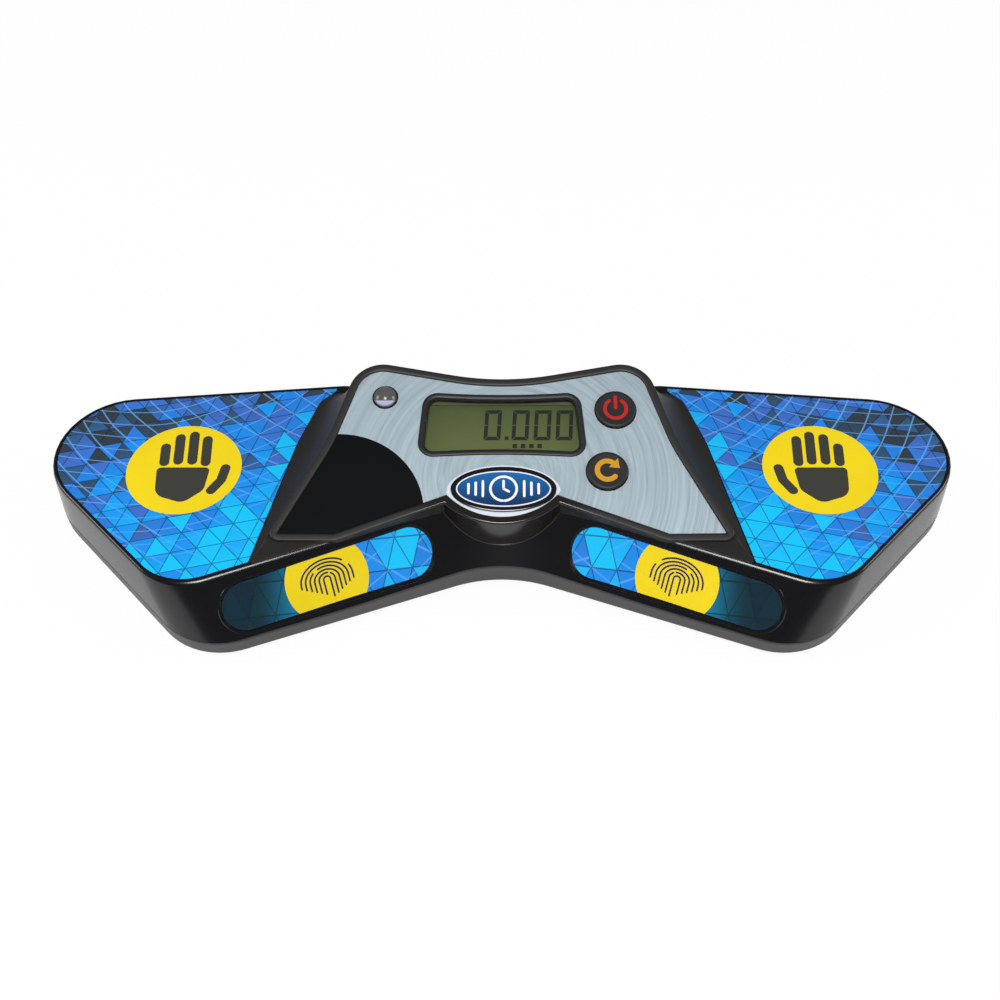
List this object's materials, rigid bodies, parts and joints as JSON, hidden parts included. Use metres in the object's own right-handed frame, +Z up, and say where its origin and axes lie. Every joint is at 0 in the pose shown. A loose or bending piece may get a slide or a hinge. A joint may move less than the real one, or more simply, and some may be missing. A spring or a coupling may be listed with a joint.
{
  "type": "speed cube timer",
  "caption": "Two-hand touch-pad timer: winged body with hand and finger pads, tilted centre console with a display, push buttons and a status light.",
  "frame": {"origin": "on the table under the middle of the footprint", "axes": "+X to the player's right along the wings, +Y away from the player, +Z up"},
  "size_m": [0.301, 0.0964, 0.0416],
  "materials": {
    "shell_plastic": "high gloss moulded ABS",
    "lower_shell_plastic": "satin moulded ABS",
    "bezel_plastic": "satin moulded ABS",
    "faceplate_metal": "arc brushed, satin",
    "badge_plastic": "printed and domed, glossy",
    "frame_plastic": "glossy moulded ABS",
    "window_glass": "clear, polished",
    "display_glass": "olive reflective liquid crystal cell",
    "reflector_film": "satin reflective film",
    "strip_rubber": "layered silicone",
    "board_laminate": "solder mask, satin",
    "chip_plastic": "matte epoxy",
    "component_metal": "dull",
    "dome_plastic": "polished, smoke tinted",
    "led_plastic": "clear epoxy",
    "button_rubber": "fine matte silicone",
    "switch_plastic": "matte nylon",
    "pad_film": "printed film, semi gloss",
    "electrode_copper": "thin copper foil, dull",
    "lead_rubber": "PVC insulation, satin",
    "jack_plastic": "matte nylon",
    "cell_sleeve": "shrink sleeve",
    "contact_steel": "nickel plated spring steel",
    "screw_steel": "zinc plated",
    "foot_rubber": "matte"
  },
  "bodies": {
    "root": {"bottom_shell": "lower_shell_plastic", "top_shell": "shell_plastic", "console_bezel": "bezel_plastic", "faceplate": "faceplate_metal", "badge_plate": "badge_plastic", "lcd_frame": "frame_plastic", "lcd_window": "window_glass", "lcd_glass": "display_glass", "lcd_reflector": "reflector_film", "zebra_strips": "strip_rubber", "main_board": "board_laminate", "controller_chip": "chip_plastic", "board_parts": "component_metal", "status_dome": "dome_plastic", "status_leds": "led_plastic", "power_switch": "switch_plastic", "reset_switch": "switch_plastic", "hand_pad_left": "pad_film", "hand_pad_right": "pad_film", "finger_pad_left": "pad_film", "finger_pad_right": "pad_film", "hand_electrode_left": "electrode_copper", "hand_electrode_right": "electrode_copper", "finger_electrode_left": "electrode_copper", "finger_electrode_right": "electrode_copper", "sensor_leads": "lead_rubber", "data_jack": "jack_plastic", "battery_cell_front": "cell_sleeve", "battery_cell_rear": "cell_sleeve", "battery_spring_contacts": "contact_steel", "battery_plate_contacts": "contact_steel", "battery_leads": "lead_rubber", "shell_screws": "screw_steel", "board_screws": "screw_steel", "rubber_feet": "foot_rubber"},
    "power_button": {"power_button": "button_rubber", "power_plunger": "switch_plastic"},
    "reset_button": {"reset_button": "button_rubber", "reset_plunger": "switch_plastic"},
    "battery_door": {"battery_door": "lower_shell_plastic"}
  },
  "joints": [
    {"name": "power_button_press", "type": "slide", "parent": "root", "child": "power_button", "axis": [0, 0.2588, -0.9659], "range_m": [0, 0.0008], "stiffness_N_per_m": 1200, "springref_m": -0.0008},
    {"name": "reset_button_press", "type": "slide", "parent": "root", "child": "reset_button", "axis": [0, 0.2588, -0.9659], "range_m": [0, 0.0008], "stiffness_N_per_m": 1200, "springref_m": -0.0008},
    {"name": "battery_door_hinge", "type": "hinge", "parent": "root", "child": "battery_door", "pos_m": [0, 0.00622, 0.0021], "axis": [-1, 0, 0], "range_deg": [0, 70]}
  ]
}
